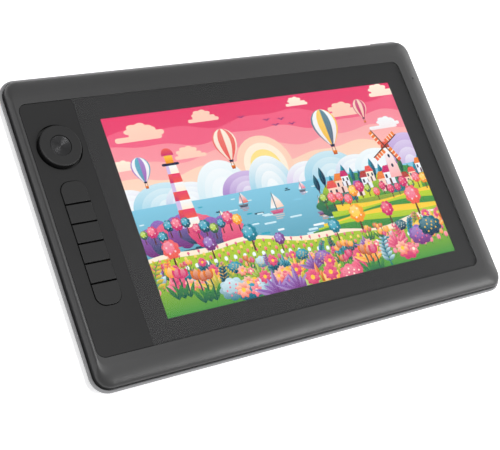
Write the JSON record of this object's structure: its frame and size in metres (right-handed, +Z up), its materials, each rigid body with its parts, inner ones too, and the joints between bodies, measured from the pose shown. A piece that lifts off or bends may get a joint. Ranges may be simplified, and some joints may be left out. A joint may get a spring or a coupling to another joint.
{
  "type": "pen display",
  "caption": "Flat pen display with a black inset screen, a column of express keys and a dial on its left side, in a rounded two-part case on rubber feet.",
  "frame": {"origin": "on the table, under the middle of the body, at the bottom of the rubber feet", "axes": "+X from the key side to the plain side, +Y from the near edge to the far edge, +Z up out of the screen"},
  "size_m": [0.357, 0.218, 0.0177],
  "materials": {
    "frame_plastic": "fine satin texture",
    "cover_plastic": "fine satin texture",
    "etched_glass": "etched, low glare",
    "border_ink": "black print behind the glass",
    "panel_plastic": "satin",
    "key_plastic": "satin",
    "dial_plastic": "satin",
    "dial_metal": "dark, spun",
    "foot_rubber": "matte",
    "screw_steel": "black plated",
    "port_metal": "nickel plated",
    "screen_picture": "lit picture",
    "white_film": "diffuser film in a white frame",
    "circuit_board": "solder mask",
    "chip_plastic": "moulded",
    "switch_plastic": "moulded",
    "ribbon_film": "polyimide film",
    "foam_tape": "closed cell foam",
    "shield_metal": "rolled sheet",
    "chassis_metal": "die cast",
    "lamp_plastic": "clear light pipe"
  },
  "bodies": {
    "tablet_body": {"top_frame": "frame_plastic", "back_cover": "cover_plastic", "cover_glass": "etched_glass", "border_print": "border_ink", "glass_tape": "foam_tape", "key_panel": "panel_plastic", "key_panel_tape": "foam_tape", "key_switches": "switch_plastic", "key_board": "circuit_board", "key_board_screws": "screw_steel", "dial_encoder": "switch_plastic", "dial_switch": "switch_plastic", "screen_gasket": "foam_tape", "lcd_panel": "screen_picture", "backlight_unit": "white_film", "digitizer_board": "circuit_board", "shield_sheet": "shield_metal", "mid_frame": "chassis_metal", "mid_frame_screws": "screw_steel", "main_board": "circuit_board", "board_parts": "chip_plastic", "board_screws": "screw_steel", "lcd_ribbon": "ribbon_film", "digitizer_ribbon": "ribbon_film", "key_ribbon": "ribbon_film", "power_switch": "switch_plastic", "status_lamp": "lamp_plastic", "rubber_feet": "foot_rubber", "cover_screws": "screw_steel", "usb_c_port_1": "port_metal", "usb_c_port_2": "port_metal"},
    "dial": {"dial_knob": "dial_plastic", "dial_clip": "port_metal"},
    "dial_centre": {"dial_button": "dial_metal"},
    "key_1": {"express_key_1": "key_plastic"},
    "key_2": {"express_key_2": "key_plastic"},
    "key_3": {"express_key_3": "key_plastic"},
    "key_4": {"express_key_4": "key_plastic"},
    "key_5": {"express_key_5": "key_plastic"},
    "key_6": {"express_key_6": "key_plastic"},
    "power_key": {"power_button": "key_plastic"}
  },
  "joints": [
    {"name": "dial_spin", "type": "hinge", "parent": "tablet_body", "child": "dial", "pos_m": [-0.15225, 0.0548, 0.015], "axis": [0, 0, 1], "continuous": true},
    {"name": "dial_press", "type": "slide", "parent": "tablet_body", "child": "dial_centre", "axis": [0, 0, -1], "range_m": [0, 0.0005], "stiffness_N_per_m": 1200},
    {"name": "key_1_press", "type": "slide", "parent": "tablet_body", "child": "key_1", "axis": [0, 0, -1], "range_m": [0, 0.0006], "stiffness_N_per_m": 1200},
    {"name": "key_2_press", "type": "slide", "parent": "tablet_body", "child": "key_2", "axis": [0, 0, -1], "range_m": [0, 0.0006], "stiffness_N_per_m": 1200},
    {"name": "key_3_press", "type": "slide", "parent": "tablet_body", "child": "key_3", "axis": [0, 0, -1], "range_m": [0, 0.0006], "stiffness_N_per_m": 1200},
    {"name": "key_4_press", "type": "slide", "parent": "tablet_body", "child": "key_4", "axis": [0, 0, -1], "range_m": [0, 0.0006], "stiffness_N_per_m": 1200},
    {"name": "key_5_press", "type": "slide", "parent": "tablet_body", "child": "key_5", "axis": [0, 0, -1], "range_m": [0, 0.0006], "stiffness_N_per_m": 1200},
    {"name": "key_6_press", "type": "slide", "parent": "tablet_body", "child": "key_6", "axis": [0, 0, -1], "range_m": [0, 0.0006], "stiffness_N_per_m": 1200},
    {"name": "power_press", "type": "slide", "parent": "tablet_body", "child": "power_key", "axis": [0, -1, 0], "range_m": [0, 0.0005], "stiffness_N_per_m": 1200}
  ]
}
